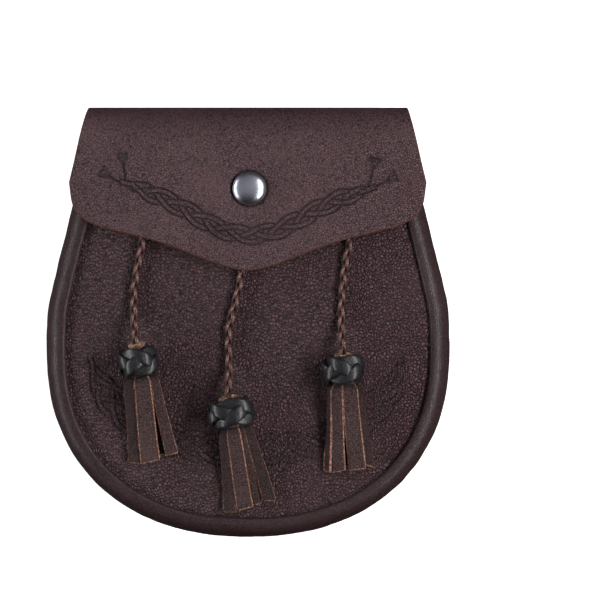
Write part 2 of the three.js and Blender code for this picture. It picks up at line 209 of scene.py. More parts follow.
def smooth_line(points, step):
    """Points spaced evenly by about step along a smooth curve through the given ones."""
    points = np.array(points, float)
    padded = np.vstack([2 * points[0] - points[1], points, 2 * points[-1] - points[-2]])
    fine = []
    for a, b, c, d in zip(padded, padded[1:], padded[2:], padded[3:]):
        for t in np.arange(0, 1, 0.1):
            fine.append(
                0.5 * (2 * b + (c - a) * t + (2 * a - 5 * b + 4 * c - d) * t**2
                       + (3 * b - a - 3 * c + d) * t**3)
            )
    fine = np.array([*fine, points[-1]])
    along = np.concatenate([[0], np.cumsum(np.linalg.norm(np.diff(fine, axis=0), axis=1))])
    places = np.linspace(0, along[-1], max(2, round(along[-1] / step)))
    return np.stack([np.interp(places, along, part) for part in fine.T], axis=1)


def blank_material(name):
    """A material with an empty node tree, and the graph that writes it."""
    material = bpy.data.materials.new(name)
    material.use_nodes = True
    graph = Graph(material.node_tree)
    graph.tree.nodes.clear()
    return material, graph


def leather(name, colour, dark, grain, depth, roughness, worn=None, coat=0.0, shine=0.3):
    """Leather with a pebbled grain. grain is the width of a pebble and depth its height, in metres.
    dark colours the creases between pebbles, and worn, if given, the patches rubbed by use."""
    material, graph = blank_material(name)
    place = graph.node("ShaderNodeTexCoord").outputs["Object"]
    wander = graph.node("ShaderNodeTexNoise", {}, {"Vector": place, "Scale": 0.35 / grain, "Detail": 2.0})
    bent = graph.vector("ADD", place, graph.scaled(wander.outputs["Color"], grain * 1.4))
    cells = graph.node(
        "ShaderNodeTexVoronoi", {"feature": "DISTANCE_TO_EDGE"}, {"Vector": bent, "Scale": 1 / grain}
    )
    pebble = graph.math("MINIMUM", Number(graph, cells.outputs["Distance"]) * 3.8, 1.0)
    dome = graph.math("MINIMUM", Number(graph, cells.outputs["Distance"]) * 2.3, 1.0)
    dome = graph.math("POWER", dome, 0.65)
    fine = Number(graph, graph.node(
        "ShaderNodeTexNoise", {}, {"Vector": place, "Scale": 1.1 / grain, "Detail": 4.0, "Roughness": 0.7}
    ).outputs["Fac"])
    patches = Number(graph, graph.node(
        "ShaderNodeTexNoise", {}, {"Vector": place, "Scale": 26.0, "Detail": 4.0, "Roughness": 0.6}
    ).outputs["Fac"])
    # Painted shade: where the attribute read here is high, the colour darkens toward a third of dark, as
    # shade in grooves, gaps and under edges.
    pressed = Number(graph, graph.node("ShaderNodeAttribute", {"attribute_name": "pressed"}).outputs["Fac"])
    tone = graph.mixed(pebble * 0.92 + (fine - 0.5) * 0.75, (*dark, 1), (*colour, 1))
    if worn:
        rubbed = graph.math("MAXIMUM", (patches - 0.5) * 1.4, 0.0)
        tone = graph.mixed(rubbed, tone, (*worn, 1))
    shaded = graph.mixed(graph.math("MINIMUM", pressed, 1.0), tone, (*(0.3 * part for part in dark), 1))
    bump = graph.node(
        "ShaderNodeBump", {}, {"Strength": 1.0, "Distance": depth, "Height": dome * 0.9 + fine * 0.5}
    )
    shader = graph.node(
        "ShaderNodeBsdfPrincipled", {},
        {
            "Base Color": shaded,
            "Roughness": roughness + (0.5 - patches) * 0.18 + (1 - pebble) * 0.15,
            "Specular IOR Level": shine,
            "Coat Weight": coat,
            "Coat Roughness": 0.22,
            "Normal": bump.outputs["Normal"],
        },
    )
    graph.node("ShaderNodeOutputMaterial", {}, {"Surface": shader.outputs["BSDF"]})
    return material


def dress(piece, record_slot, *materials):
    """Gives a piece its materials and its body. record_slot is not used."""
    for material in materials:
        piece.data.materials.append(material)
    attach(piece, "root")
    return piece


lace_material = leather(
    "lace_leather", colour=(0.5, 0.26, 0.225), dark=(0.06, 0.011, 0.006),
    grain=0.001, depth=0.0001, roughness=0.38, shine=0.4,
)

graph, given = geometry_tree("braid", {
    "Strand radius": ("NodeSocketFloat", 0.00078),
    "Repeat": ("NodeSocketFloat", 0.024),
    "Swing": ("NodeSocketFloat", 0.00106),
    "Weave": ("NodeSocketFloat", 0.00088),
    "Material": ("NodeSocketMaterial", None),
})
lace_line = graph.node(
    "GeometryNodeResampleCurve", {"mode": "LENGTH"}, {"Curve": given["Geometry"], "Length": 0.0004}
).outputs["Curve"]
lace_length = Number(graph, graph.node("GeometryNodeSplineParameter").outputs["Length"])
side_way = graph.node("GeometryNodeInputNormal").outputs["Normal"]
lace_way = graph.node("GeometryNodeInputTangent").outputs["Tangent"]
up_way = graph.vector("CROSS_PRODUCT", side_way, lace_way)
strand_section = graph.node(
    "GeometryNodeCurvePrimitiveCircle", {}, {"Resolution": 9, "Radius": given["Strand radius"]}
).outputs["Curve"]
braid_join = graph.node("GeometryNodeJoinGeometry")
for strand in range(3):
    phase = lace_length / Number(graph, given["Repeat"]) * math.tau + strand * math.tau / 3
    side = graph.math("SINE", phase) * Number(graph, given["Swing"])
    lift = graph.math("SINE", phase * 2.0) * Number(graph, given["Weave"])
    # Painted shade: each strand is painted darker where it dips under the others.
    shade_where_buried = graph.math("POWER", 0.5 - graph.math("SINE", phase * 2.0) * 0.5, 0.3) * 1.15
    shaded = graph.node("GeometryNodeStoreNamedAttribute", {"data_type": "FLOAT", "domain": "POINT"}, {
        "Geometry": lace_line, "Name": "pressed", "Value": shade_where_buried})
    moved = graph.node("GeometryNodeSetPosition", {}, {
        "Geometry": shaded.outputs[0],
        "Offset": graph.vector("ADD", graph.scaled(side_way, side), graph.scaled(up_way, lift)),
    })
    tube = graph.node("GeometryNodeCurveToMesh", {}, {
        "Curve": moved.outputs[0], "Profile Curve": strand_section, "Fill Caps": True,
    })
    graph.tree.links.new(tube.outputs[0], braid_join.inputs[0])
braid_tree = end_tree(graph, braid_join.outputs[0], given["Material"])

for side_name, route in cord_routes.items():
    line = smooth_line(np.array(route) * mm, 0.001)
    lace_curve = path_curve(f"cord_{side_name}_line", line)
    lace_curve.twist_mode = "Z_UP"
    cord = grown(f"braided_cord_{side_name}", braid_tree, lace_curve, {"Material": lace_material})
    cord.data.polygons.foreach_set("use_smooth", [True] * len(cord.data.polygons))
    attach(cord, "root")
    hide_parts(f"cord_{side_name}")

# Front panel: one soft sheet of pebbled leather, sewn to the gusset all round except at the mouth.
# It swells over the middle, sags into creases where the tassels have hung, and carries a wide
# embossed plait that runs round the bowl of the pouch behind the tassels.
body_half_width = 97
shoulder_height = 6.5
shoulder_rounding = 7.5
side_lean = 0.256
bowl_height = -12.2
bowl_depth = 90.8
bowl_power = 2.25
panel_inset = 10.2
tucked_in = 0.9
front_thickness = 1.8
front_edge = 30.6
front_dome = 5
front_top = 84


def smooth_rise(value, low, high):
    """0 up to low, 1 from high on, and a smooth step in between."""
    part = np.clip((np.asarray(value, float) - low) / (high - low), 0, 1)
    return part * part * (3 - 2 * part)


def side_half_width(y):
    """Half the body's width at a height: its sides are upright low down, and lean in above."""
    rise = np.asarray(y, float) - shoulder_height
    return body_half_width - side_lean / 2 * (rise + np.hypot(rise, shoulder_rounding))


def outline(top, inset, steps):
    """Points and outward ways round the body, from its left top corner by the bottom to the right."""
    sides = np.linspace(top, bowl_height, 60)[:-1]
    turn = np.linspace(0, math.pi / 2, 200)
    down = bowl_height - bowl_depth * np.sin(turn) ** (2 / bowl_power)
    out = side_half_width(down) * np.clip(np.cos(turn), 0, 1) ** (2 / bowl_power)
    right = np.stack([np.concatenate([side_half_width(sides), out]), np.concatenate([sides, down])], 1)
    loop = np.vstack([right * (-1, 1), right[-2::-1]])
    along = np.concatenate([[0], np.cumsum(np.linalg.norm(np.diff(loop, axis=0), axis=1))])
    places = np.linspace(0, along[-1], steps + 1)
    points = np.stack([np.interp(places, along, part) for part in loop.T], 1)
    ways = np.gradient(points, axis=0)
    ways /= np.linalg.norm(ways, axis=1)[:, None]
    outward = np.stack([ways[:, 1], -ways[:, 0]], 1)
    return points - outward * inset, outward


def nearness(x, y):
    """0 in the middle of a panel and 1 along its sewn edge."""
    side = np.abs(x) / (side_half_width(y) - panel_inset)
    down = np.clip(bowl_height - y, 0, None) / (bowl_depth - panel_inset)
    return np.clip((side**bowl_power + down**bowl_power) ** (1 / bowl_power), 0, 1)


def front_face(x, y):
    """The height of the front's outer face, before its creases and its plait."""
    near_mouth = smooth_rise(y, 40, front_top)
    return front_edge + (front_dome - near_mouth) * (1 - nearness(x, y) ** 3)


def panel_grid(top, rows, columns):
    """Places over a panel, in rows from its mouth down into the bowl."""
    inset = panel_inset - tucked_in
    bowl, _ = outline(bowl_height, inset, columns)
    down = top + (bowl[None, :, 1] - top) * rows[:, None]
    slant = inset * (1 + 0.02 * smooth_rise(down, bowl_height, bowl_height + 30))
    spread = np.where(down > bowl_height, side_half_width(down) - slant, body_half_width - inset)
    return bowl[None, :, 0] / bowl[-1, 0] * spread, down


def sheet_object(name, face, thickness, edge, pressed=None):
    """A closed sheet under a grid of points on its face. edge lists how far out and how far through
    the sheet each ring of its cut edge lies. Faces are marked 0 for grain, 1 for edge, 2 for flesh."""
    face = np.asarray(face, float)
    rows, columns, _ = face.shape
    normal = np.cross(np.gradient(face, axis=0), np.gradient(face, axis=1))
    normal /= np.linalg.norm(normal, axis=2)[:, :, None]
    count = rows * columns
    index = np.arange(count).reshape(rows, columns)
    loop = np.concatenate([index[0, :-1], index[:-1, -1], index[-1, :0:-1], index[:0:-1, 0]])
    around = face.reshape(-1, 3)[loop]
    way = np.roll(around, -1, axis=0) - np.roll(around, 1, axis=0)
    through = normal.reshape(-1, 3)[loop]
    outward = np.cross(through, way)
    outward /= np.linalg.norm(outward, axis=1)[:, None]
    rings = [around + outward * out - through * thickness * deep for out, deep in edge]
    points = np.vstack([face.reshape(-1, 3), (face - normal * thickness).reshape(-1, 3), *rings]) * mm
    a, b, c, d = index[:-1, :-1], index[1:, :-1], index[1:, 1:], index[:-1, 1:]
    top = np.stack([a, b, c, d], 2).reshape(-1, 4)
    quads = [top, top[:, ::-1] + count]
    cuts = [2 * count + i * len(loop) + np.arange(len(loop)) for i in range(len(edge))]
    levels = [loop, *cuts, loop + count]
    for upper, lower in zip(levels, levels[1:]):
        quads.append(np.stack([upper, np.roll(upper, -1), np.roll(lower, -1), lower], 1))
    kinds = np.concatenate([np.full(len(part), min(i, 2)) for i, part in enumerate(quads)])
    kinds = np.where(kinds == 0, 0, 3 - kinds)
    faces = np.vstack(quads)
    mesh = bpy.data.meshes.new(name)
    mesh.vertices.add(len(points))
    mesh.vertices.foreach_set("co", points.ravel())
    mesh.loops.add(faces.size)
    mesh.loops.foreach_set("vertex_index", faces.ravel())
    mesh.polygons.add(len(faces))
    mesh.polygons.foreach_set("loop_start", np.arange(0, faces.size, 4))
    mesh.polygons.foreach_set("material_index", kinds)
    mesh.polygons.foreach_set("use_smooth", np.ones(len(faces), bool))
    mesh.update(calc_edges=True)
    mesh.validate()
    # The attribute written here is painted shade: the face's values as given, and on the cut edge a shade
    # that deepens toward the flesh side.
    depth = mesh.attributes.new("pressed", "FLOAT", "POINT")
    values = np.zeros(len(points))
    if pressed is not None:
        values[:count] = pressed.ravel()
    for i, (_, deep) in enumerate(edge):
        values[2 * count + i * len(loop):][:len(loop)] = max(0, deep - 0.25)
    depth.data.foreach_set("value", values)
    piece = bpy.data.objects.new(name, mesh)
    bpy.context.collection.objects.link(piece)
    return piece


def along_line(x, y, line):
    """How far along a line the place nearest each point is, and how far to its left the point lies."""
    line = np.asarray(line, float)
    steps = np.concatenate([[0], np.cumsum(np.linalg.norm(np.diff(line, axis=0), axis=1))])
    ways = np.gradient(line, axis=0)
    ways /= np.linalg.norm(ways, axis=1)[:, None]
    points = np.stack([x, y], -1).reshape(-1, 2)
    far = np.full(len(points), 1e3)
    place = np.zeros(len(points))
    low, high = line.min(0) - 14, line.max(0) + 14
    close = np.where(np.all((points > low) & (points < high), axis=1))[0]
    for part in np.array_split(close, max(1, len(close) // 4000)):
        gap = points[part, None] - line[None]
        best = np.argmin((gap**2).sum(2), axis=1)
        near = gap[np.arange(len(part)), best]
        way = ways[best]
        far[part] = way[:, 0] * near[:, 1] - way[:, 1] * near[:, 0]
        place[part] = steps[best] + (way * near).sum(1)
        off_end = (place[part] < -0.3) | (place[part] > steps[-1] + 0.3)
        far[part] = np.where(off_end, 1e3, far[part])
    return place.reshape(np.shape(x)), far.reshape(np.shape(x)), steps[-1]


def pressed_line(distance, width):
    """The section of a line pressed into leather: 1 at its middle and 0 from half its width out."""
    return 1 - smooth_rise(np.abs(distance), width * 0.15, width * 0.6)


def plait(x, y, line, strands, repeat, swing, lace, groove):
    """A plait pressed in along a line: each lace lies between two grooves, and stops them where it
    passes over another."""
    place, side, length = along_line(x, y, line)
    ends = np.minimum(smooth_rise(place, 0, 0.45 * repeat), smooth_rise(length - place, 0, 0.45 * repeat))
    depth = np.zeros(np.shape(x))
    highest = np.full(np.shape(x), -9.0)
    for strand in range(strands):
        phase = place / repeat * math.tau + strand * math.tau / strands
        middle = swing * np.sin(phase) * ends
        slope = swing * np.cos(phase) * math.tau / repeat * ends
        apart = np.abs(side - middle) / np.hypot(1, slope)
        over = np.sin(2 * phase + 0.4) + 0.01 * strand
        inside = apart < lace / 2 + groove * 0.6
        wins = inside & (over > highest)
        section = pressed_line(apart - lace / 2, groove)
        depth = np.where(wins, section, depth)
        highest = np.where(wins, over, highest)
    return depth


bowl_line = smooth_line(
    [(-75, -17), (-70.5, -28), (-62.5, -39.5), (-48, -51), (-25, -58.8), (0, -60.8), (25, -58.8),
     (47, -51), (61.5, -39.5), (69.5, -28), (73.5, -17)], 0.5)
front_rows = np.concatenate([np.linspace(0, 0.5, 62)[:-1], np.linspace(0.5, 1, 132)])
front_x, front_y = panel_grid(front_top, front_rows, 232)
front_press = plait(front_x, front_y, bowl_line, strands=4, repeat=46, swing=6.2, lace=2.6, groove=1.2)
creases = [
    {"from": (-19, -2), "to": (-20.5, -40), "width": 7, "depth": 0.55},
    {"from": (36, -16), "to": (22, -40), "width": 7, "depth": 0.6},
    {"from": (30, -10), "to": (25, -34), "width": 5, "depth": 0.35},
    {"from": (-36, 34), "to": (-32, 8), "width": 9, "depth": 0.5},
    {"from": (27, 36), "to": (30, 12), "width": 9, "depth": 0.45},
    {"from": (-76, 8), "to": (-66, -16), "width": 8, "depth": 0.45},
    {"from": (-36, -26), "to": (-25, -50), "width": 8, "depth": 0.4},
    {"from": (66, 20), "to": (70, -6), "width": 9, "depth": 0.4},
    {"from": (-70, -46), "to": (-52, -66), "width": 7, "depth": 0.4},
]
plait_depth = 0.65
front_height = front_face(front_x, front_y) - plait_depth * front_press
free = smooth_rise(1 - nearness(front_x, front_y), 0.02, 0.2)
for crease in creases:
    start, end = np.array(crease["from"]), np.array(crease["to"])
    way = (end - start) / np.linalg.norm(end - start)
    part = ((front_x - start[0]) * way[0] + (front_y - start[1]) * way[1]) / np.linalg.norm(end - start)
    side = (front_x - start[0]) * way[1] - (front_y - start[1]) * way[0] + 1.5 * np.sin(part * 5)
    fade = np.exp(-(((part - 0.5) / 0.42) ** 2) * 1.2)
    front_height -= crease["depth"] * free * fade * np.exp(-((side / crease["width"] * 2) ** 2))
body_leather = leather(
    "body_leather", colour=(0.106, 0.05, 0.058), dark=(0.0035, 0.0008, 0.001),
    grain=0.00145, depth=0.0006, roughness=0.44, worn=(0.095, 0.046, 0.054), shine=0.3,
)
raw_edge = leather(
    "raw_edge", colour=(0.15, 0.058, 0.04), dark=(0.045, 0.014, 0.01),
    grain=0.0008, depth=0.0001, roughness=0.75,
)
flesh_side = leather(
    "flesh_side", colour=(0.16, 0.1, 0.075), dark=(0.1, 0.06, 0.045),
    grain=0.0005, depth=0.00012, roughness=0.9,
)
square_edge = [(0.1, 0.08), (0.1, 0.92)]
# The plait's grooves are painted darker in step with their depth: painted shade in them.
front_panel = sheet_object(
    "domed_front", np.stack([front_x, front_y, front_height], 2), front_thickness, square_edge,
    plait_depth * front_press,
)
dress(front_panel, "body_leather", body_leather, raw_edge, flesh_side)
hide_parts("front_panel")

# Back panel: the same leather, plain, pressed in over the belt loops where the pouch lies on them.
back_thickness = 2
back_edge = 2.6
back_press = 4.8
back_top = 83


def back_face(x, y):
    """The height of the back's outer face: low along its edge and high over the belt loops."""
    middle = 1 - smooth_rise(nearness(x, y), 0.64, 0.92)
    return back_edge + back_press * middle * (1 - smooth_rise(y, 62, 74))


back_x, back_y = panel_grid(back_top, np.linspace(0, 1, 110)[::-1], 110)
back_panel = sheet_object(
    "pressed_back", np.stack([back_x, back_y, back_face(back_x, back_y)], 2), back_thickness, square_edge
)
dress(back_panel, "body_leather", body_leather, raw_edge, flesh_side)
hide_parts("back_panel")

# Gusset: a long strip of smooth leather that makes the sides and the bottom. Its two edges are
# turned in over the panels and sewn down, which leaves a rolled rim at the front and at the back.
gusset_depth = 33
gusset_swell = 8.3
gusset_power = 2.4
gusset_top = 88
gusset_thickness = 2
outer_hook = [
    (-9.9, 28.8), (-9.9, 30), (-9.9, 31), (-9.84, 31.7), (-9.6, 32.35), (-9.2, 32.75), (-8.7, 32.96),
]
inner_hook = [(-8, 28.8), (-8.02, 29.6), (-8.05, 30.3), (-8.1, 30.7), (-8.18, 30.95)]


def gusset_section():
    """The strip cut across, as a loop: how far out of the outline, and how high."""
    turn = np.radians(np.linspace(90, -90, 41))
    bulge = np.clip(np.cos(turn), 0, 1) ** (2 / gusset_power)
    swing = np.sign(turn) * np.abs(np.sin(turn)) ** (2 / gusset_power)
    loops = []
    for less, hook in ((0, outer_hook), (gusset_thickness, inner_hook)):
        arc = np.stack([
            -gusset_swell + (gusset_swell - less) * bulge,
            gusset_depth / 2 + (gusset_depth / 2 - less) * swing,
        ], 1)
        hook = np.array(hook)
        under = hook[::-1] * (1, -1) + (0, gusset_depth)
        loops.append(np.vstack([hook, arc, under]))
    return np.vstack([loops[0], loops[1][::-1]])


graph, given = geometry_tree("rolled_strip", {
    "Section": ("NodeSocketObject", None),
    "Wrinkle size": ("NodeSocketFloat", 0.009),
    "Wrinkle depth": ("NodeSocketFloat", 0.0009),
    "Material": ("NodeSocketMaterial", None),
})
section = graph.node("GeometryNodeObjectInfo", {}, {"Object": given["Section"]}).outputs["Geometry"]
strip = graph.node("GeometryNodeCurveToMesh", {}, {
    "Curve": given["Geometry"], "Profile Curve": section, "Fill Caps": True,
}).outputs[0]
ripple = graph.node("GeometryNodeInputPosition").outputs[0]
ripple = graph.node("ShaderNodeTexNoise", {}, {
    "Vector": ripple, "Scale": 1 / Number(graph, given["Wrinkle size"]), "Detail": 2.0,
}).outputs["Fac"]
wrinkle = (Number(graph, ripple) - 0.5) * Number(graph, given["Wrinkle depth"])
strip = graph.node("GeometryNodeSetPosition", {}, {
    "Geometry": strip,
    "Offset": graph.scaled(graph.node("GeometryNodeInputNormal").outputs[0], wrinkle),
}).outputs[0]
strip_tree = end_tree(graph, strip, given["Material"])

rim_leather = leather(
    "rim_leather", colour=(0.056, 0.031, 0.033), dark=(0.02, 0.009, 0.01),
    grain=0.0014, depth=0.0001, roughness=0.38, worn=(0.058, 0.034, 0.036), shine=0.3,
)
rim_points, _ = outline(gusset_top, 0, 330)
rim_line = path_curve("rim_line", np.column_stack([rim_points, np.zeros(len(rim_points))]) * mm)
rim_line.twist_mode = "Z_UP"
section_loop = gusset_section() * (1, -1) * mm
section_object = bpy.data.objects.new(
    "section", path_curve("section", np.column_stack([section_loop, np.zeros(len(section_loop))]), True)
)
gusset = grown("gusset_strip", strip_tree, rim_line, {"Section": section_object, "Material": rim_leather})
bpy.data.objects.remove(section_object)
gusset.data.polygons.foreach_set("use_smooth", [True] * len(gusset.data.polygons))
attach(gusset, "root")
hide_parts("gusset")

# Flap: a thick piece of fine-grained leather sewn to the back. It folds over the mouth and comes
# down the front to a curved point, with its cut edge left raw and a three-strand plait embossed
# above the point. Both ends of the plait part into two stems with flared heads.
flap_thickness = 2.2
flap_tail_end = 74
flap_tail_half_width = 65
fold_height = 82
fold_reach = 21
fold_half_depth = 21.3
flap_corner = 66.5
flap_half_width = 85.4
flap_lean = 0.242
flap_rounding = 0.75
flap_edge = [
    (0, 24.6), (10.6, 26.5), (22.6, 30.8), (34.6, 35.5), (47, 39.5), (59, 42.5),
    (71.5, 45.8), (78.7, 49.4), (83.5, 55.6), (flap_half_width, flap_corner),
]


def flap_sag(x, y):
    """How far the flap hangs below the fold's top, at its sides and at its point."""
    sides = 7.5 * (np.abs(x) / flap_half_width) ** 3 * (1 - smooth_rise(y, 76, 102))
    tip = 0.8 * (1 - smooth_rise(y, 25, 55)) * (1 - smooth_rise(np.abs(x), 15, 45))
    return sides + tip


half_edge = smooth_line([(-x, y) for x, y in flap_edge[1:2]] + flap_edge, 0.69)
half_edge = half_edge[half_edge[:, 0] > 0.2]
full_edge = np.vstack([half_edge[::-1] * (-1, 1), half_edge])
edge_way = np.gradient(full_edge, axis=0)
edge_way /= np.linalg.norm(edge_way, axis=1)[:, None]
edge_points = full_edge + np.stack([-edge_way[:, 1], edge_way[:, 0]], 1) * flap_rounding
across = edge_points[:, 0] / edge_points[-1, 0]


def flap_half(y):
    """Half the flap's width at a height, less the rounding of its edge."""
    return flap_half_width - flap_lean * np.clip(y - flap_corner, 0, None) - flap_rounding


flap_rows = []
for y in np.linspace(flap_tail_end + flap_rounding, fold_height, 10)[:-1]:
    flap_rows.append(np.stack([across * flap_tail_half_width, 0 * across + y, 0 * across], 1))
for degrees in np.linspace(-90, 90, 40)[:-1]:
    turn = math.radians(degrees)
    y = fold_height + fold_reach * math.cos(turn)
    z = fold_half_depth * (1 + math.sin(turn))
    spread = smooth_rise(degrees, -70, -10)
    x = across * (flap_tail_half_width * (1 - spread) + flap_half(y) * spread)
    flap_rows.append(np.stack([x, 0 * x + y, z - flap_sag(x, y) * (degrees > 0)], 1))
for part in np.linspace(0, 1, 112):
    y = fold_height + (edge_points[:, 1] - fold_height) * part
    x = across * flap_half(y)
    flap_rows.append(np.stack([x, y, 2 * fold_half_depth - flap_sag(x, y)], 1))
flap_face = np.stack(flap_rows)

garland = smooth_line(
    [(-60.5, 67), (-48.5, 62.6), (-35.5, 56.6), (-24, 50.2), (-13, 44.4), (1, 41.4), (15, 44.2),
     (26, 49.8), (37, 55.6), (49.5, 60.6), (61, 64.6)], 0.4)
stems = [
    {"foot": (-58, 67), "head": (-59.2, 78.5)},
    {"foot": (-60, 66), "head": (-68.2, 71.2)},
    {"foot": (57.5, 64.5), "head": (60.4, 76.4)},
    {"foot": (60, 64), "head": (69, 69.2)},
]
first_top_row = 40  # from halfway round the fold on, the face shows
on_front = np.arange(len(flap_rows))[:, None] > first_top_row
flap_x, flap_y = flap_face[:, :, 0], flap_face[:, :, 1]
flap_press = plait(flap_x, flap_y, garland, strands=3, repeat=39, swing=3.3, lace=2.4, groove=1.05)
flap_press = np.where(on_front, flap_press, 0)
for stem in stems:
    foot, head = np.array(stem["foot"]), np.array(stem["head"])
    reach = np.linalg.norm(head - foot)
    way = (head - foot) / reach
    up = (flap_x - foot[0]) * way[0] + (flap_y - foot[1]) * way[1]
    side = (flap_x - foot[0]) * way[1] - (flap_y - foot[1]) * way[0]
    stalk = pressed_line(side, 1.3) * ((up > 0) & (up < reach - 2))
    flare = 1 + 2 * smooth_rise(up, reach - 3.5, reach + 2)
    inside = 1 - smooth_rise(np.abs(side), flare - 0.3, flare + 0.5)
    inside = inside * smooth_rise(up, reach - 4, reach - 3) * (1 - smooth_rise(up, reach + 1.6, reach + 2.4))
    rim = np.maximum(pressed_line(np.abs(side) - flare, 0.9), pressed_line(up - reach - 1.7, 1.1))
    cup = inside * (0.5 + 0.5 * rim)
    flap_press = np.maximum(flap_press, np.where(on_front, np.maximum(stalk, cup), 0))
snap_x, snap_y = 0.9, 63.6
flap_plait_depth = 0.75
# How strongly the flap's pressed lines are painted darker: painted shade in them.
flap_groove_shade = 0.88
seat = np.hypot(flap_x - snap_x, flap_y - snap_y)
# The snap is set hard enough to press a ring and a shallow dish into the leather; the ring is also painted
# darker, as shade round the cap.
flap_press = np.maximum(flap_press, np.where(on_front, 0.9 * pressed_line(seat - 8.4, 1.5), 0))
dish = np.where(on_front, 0.25 * np.exp(-((seat / 9) ** 4)), 0)
flap_face[:, :, 2] -= flap_plait_depth * flap_press + dish
# Slow ripples, as soft leather has.
for row in range(first_top_row, len(flap_rows)):
    for column in range(flap_face.shape[1]):
        x, y, _ = flap_face[row, column]
        flap_face[row, column, 2] += 0.28 * noise.noise((x * 0.045, y * 0.05, 3.1))
flap_leather = leather(
    "flap_leather", colour=(0.15, 0.08, 0.09), dark=(0.014, 0.0045, 0.0055),
    grain=0.00108, depth=0.00036, roughness=0.44, worn=(0.135, 0.071, 0.079), shine=0.3,
)
round_edge = [(0.45, 0.06), (0.7, 0.22), (flap_rounding, 0.5), (0.6, 0.82), (0.3, 0.95)]
# The plait's grooves, its stems with their flared heads and the ring round the snap are painted darker in
# step with their depth: painted shade.
flap = sheet_object("embossed_flap", flap_face, flap_thickness, round_edge, flap_groove_shade * flap_press)
dress(flap, "flap_leather", flap_leather, raw_edge, flesh_side)
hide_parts("flap")

# Snap fastener: a domed cap of polished steel, pressed into the flap on a short shank, over a stud
# riveted through the front panel. The cap is spun sheet with a rolled edge.
def spun(name, profile, segments):
    """A round closed piece about the snap's axis, from half its section in radii and heights."""
    turn = np.arange(segments) / segments * math.tau
    rings = [(radius * np.cos(turn), radius * np.sin(turn), 0 * turn + z) for radius, z in profile[1:-1]]
    points = np.vstack([np.stack(ring, 1) for ring in rings])
    points = np.vstack([points, [(0, 0, profile[0][1]), (0, 0, profile[-1][1])]]) + (snap_x, snap_y, 0)
    faces = []
    for level in range(len(rings) - 1):
        for i in range(segments):
            k = (i + 1) % segments
            upper, lower = level * segments, (level + 1) * segments
            faces.append((upper + i, lower + i, lower + k, upper + k))
    last = (len(rings) - 1) * segments
    for i in range(segments):
        k = (i + 1) % segments
        faces.append((len(points) - 2, i, k))
        faces.append((len(points) - 1, last + k, last + i))
    mesh = bpy.data.meshes.new(name)
    mesh.from_pydata([tuple(point) for point in points * mm], [], faces)
    mesh.polygons.foreach_set("use_smooth", [True] * len(mesh.polygons))
    piece = bpy.data.objects.new(name, mesh)
    bpy.context.collection.objects.link(piece)
    return piece


flap_top = 2 * fold_half_depth - flap_sag(snap_x, snap_y)
cap_height = 3.6
dome_foot = 0.9
dome_radius = 7.75
dome_angle = 78
dome_cosine = 0.208
dome_rise = 2.7
cap_profile = [(0, flap_top + cap_height)]
for degrees in np.linspace(4, dome_angle, 14):
    turn = math.radians(degrees)
    cap_profile.append((
        dome_radius * math.sin(turn) / math.sin(math.radians(dome_angle)),
        flap_top + dome_foot + dome_rise * (math.cos(turn) - dome_cosine) / (1 - dome_cosine),
    ))
cap_profile += [
    (7.95, flap_top + 0.75), (8, flap_top + 0.5), (7.95, flap_top + 0.25), (7.75, flap_top + 0.08),
    (7.4, flap_top), (2.3, flap_top), (2.3, flap_top - 2.5), (6, flap_top - 2.5),
    (6, flap_top - 3.3), (4.4, flap_top - 3.7), (4.2, flap_top - 5.2), (3, flap_top - 5.2),
    (3, flap_top - 3.5), (0, flap_top - 3.5),
]
steel, graph = blank_material("polished_steel")
place = graph.node("ShaderNodeTexCoord").outputs["Object"]
scuffs = graph.node("ShaderNodeTexNoise", {}, {"Vector": place, "Scale": 900.0, "Detail": 3.0}).outputs["Fac"]
haze = graph.node("ShaderNodeTexNoise", {}, {"Vector": place, "Scale": 160.0}).outputs["Fac"]
shader = graph.node("ShaderNodeBsdfPrincipled", {}, {
    "Base Color": (0.49, 0.495, 0.565, 1), "Metallic": 1.0,
    "Roughness": 0.17 + Number(graph, haze) * 0.2 + Number(graph, scuffs) * 0.1,
})
graph.node("ShaderNodeOutputMaterial", {}, {"Surface": shader.outputs["BSDF"]})
cap = dress(spun("domed_cap", cap_profile, 72), "polished_steel", steel)
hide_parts("snap_cap")
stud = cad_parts["snap_stud"]
stud.data.materials.clear()
stud.data.materials.append(steel)

# Knots: a ring of glossy plaited lace, a Turk's head of three leads, wound round the head of each
# tassel. One lace goes three times round, swinging from edge to edge and over and under itself.
knot_leather = leather(
    "knot_leather", colour=(0.02, 0.0175, 0.022), dark=(0.003, 0.0026, 0.0035),
    grain=0.0011, depth=0.00012, roughness=0.3, coat=0.32,
)
graph, given = geometry_tree("turks_head", {
    "Bights": ("NodeSocketFloat", 4.0),
    "Ring radius": ("NodeSocketFloat", 0.0072),
    "Swing": ("NodeSocketFloat", 0.0039),
    "Weave": ("NodeSocketFloat", 0.0007),
    "Barrel": ("NodeSocketFloat", 0.0016),
    "Lace width": ("NodeSocketFloat", 0.0063),
    "Lace thickness": ("NodeSocketFloat", 0.0017),
    "Material": ("NodeSocketMaterial", None),
})
size = {name: Number(graph, given[name]) for name in (
    "Bights", "Ring radius", "Swing", "Weave", "Barrel", "Lace width", "Lace thickness")}
lattice = graph.node(
    "GeometryNodeMeshGrid", {}, {"Size X": 1.0, "Size Y": 1.0, "Vertices X": 301, "Vertices Y": 15}
).outputs["Mesh"]
spot = graph.node("ShaderNodeSeparateXYZ", {}, {
    "Vector": graph.node("GeometryNodeInputPosition").outputs[0]}).outputs
travel = (Number(graph, spot["X"]) + 0.5) * (6 * math.pi)
wrap = (Number(graph, spot["Y"]) + 0.5) * math.tau
swung = travel * size["Bights"] / 3.0
slope = size["Swing"] * size["Bights"] / 3.0 * graph.math("COSINE", swung)
